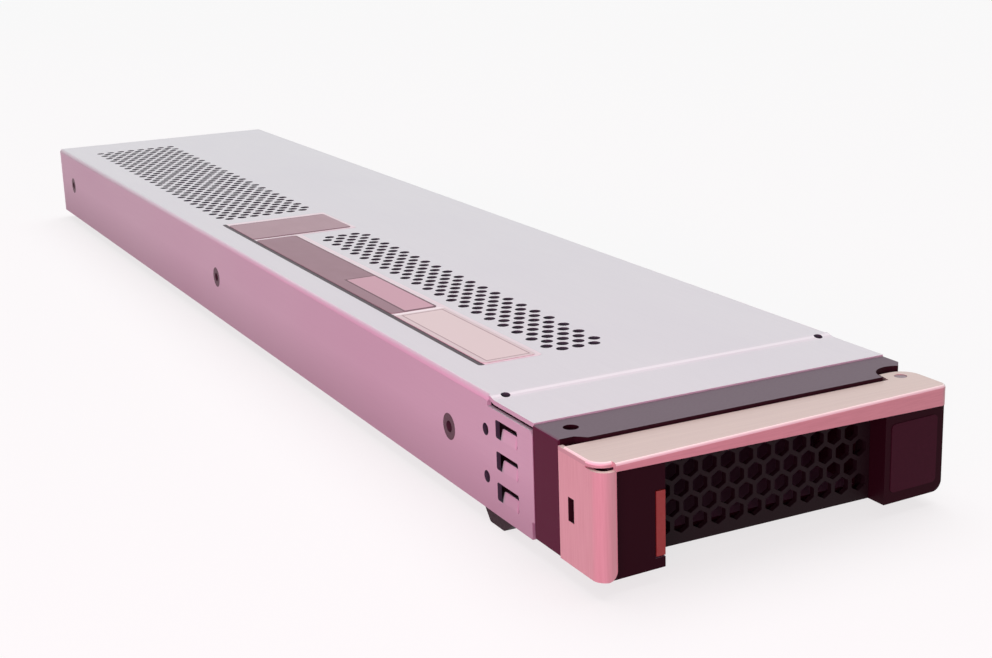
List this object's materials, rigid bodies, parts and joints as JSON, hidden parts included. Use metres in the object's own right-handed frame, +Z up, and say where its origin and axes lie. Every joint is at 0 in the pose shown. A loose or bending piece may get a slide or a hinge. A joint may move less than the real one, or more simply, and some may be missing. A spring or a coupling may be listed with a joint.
{
  "type": "flash memory module",
  "caption": "Long flat sheet-metal plug-in storage module with vented cover, honeycomb front grille, hinged pull lever and sliding release latch.",
  "frame": {"origin": "middle of the footprint, on the plane that the gasket's underside rests on", "axes": "+X to the right seen from the front, +Y from the front to the rear, +Z up through the broad cover"},
  "size_m": [0.082, 0.4141, 0.0268],
  "materials": {
    "zinc_sheet": "galvanised sheet steel, matt",
    "gasket_rubber": "conductive elastomer strip",
    "screw_steel": "zinc-plated screws",
    "carrier_plastic": "moulded, fine texture",
    "grille_plastic": "moulded, fine texture",
    "lever_steel": "brushed stainless sheet",
    "pin_steel": "turned",
    "latch_plastic": "moulded, orange-red",
    "spring_steel": "folded leaf",
    "board_laminate": "solder-masked laminate",
    "standoff_brass": "turned hexagon",
    "link_plastic": "moulded",
    "chip_plastic": "moulded package",
    "sink_aluminium": "extruded",
    "coil_ferrite": "pressed ferrite",
    "can_aluminium": "drawn can",
    "connector_plastic": "moulded",
    "label_pale": "polyester sticker",
    "label_mauve": "polyester sticker",
    "label_dark": "polyester sticker"
  },
  "bodies": {
    "case": {"top_cover": "zinc_sheet", "base_pan": "zinc_sheet", "bottom_gasket": "gasket_rubber", "cover_screws": "screw_steel", "carrier_screws": "screw_steel", "front_carrier": "carrier_plastic", "grille_panel": "grille_plastic", "pivot_pin": "pin_steel", "latch_spring": "spring_steel", "main_board": "board_laminate", "board_standoffs": "standoff_brass", "board_screws": "screw_steel", "memory_board": "board_laminate", "memory_spacers": "standoff_brass", "memory_screws": "screw_steel", "board_links": "link_plastic", "memory_chips": "chip_plastic", "flash_chips": "chip_plastic", "controller_chips": "chip_plastic", "heat_sinks": "sink_aluminium", "power_coils": "coil_ferrite", "capacitors": "can_aluminium", "rear_connector": "connector_plastic", "label_front": "label_pale", "label_middle": "label_mauve", "label_rear": "label_mauve", "front_label": "label_dark"},
    "lever": {"lever": "lever_steel"},
    "latch": {"release_latch": "latch_plastic"}
  },
  "joints": [
    {"name": "lever_swing", "type": "hinge", "parent": "case", "child": "lever", "pos_m": [0.036, -0.1938, 0.0246], "axis": [0, 0, 1], "range_deg": [0, 70]},
    {"name": "latch_slide", "type": "slide", "parent": "case", "child": "latch", "axis": [1, 0, 0], "range_m": [0, 0.0018], "stiffness_N_per_m": 400, "springref_m": -0.001, "deforming": ["latch_spring"]}
  ]
}
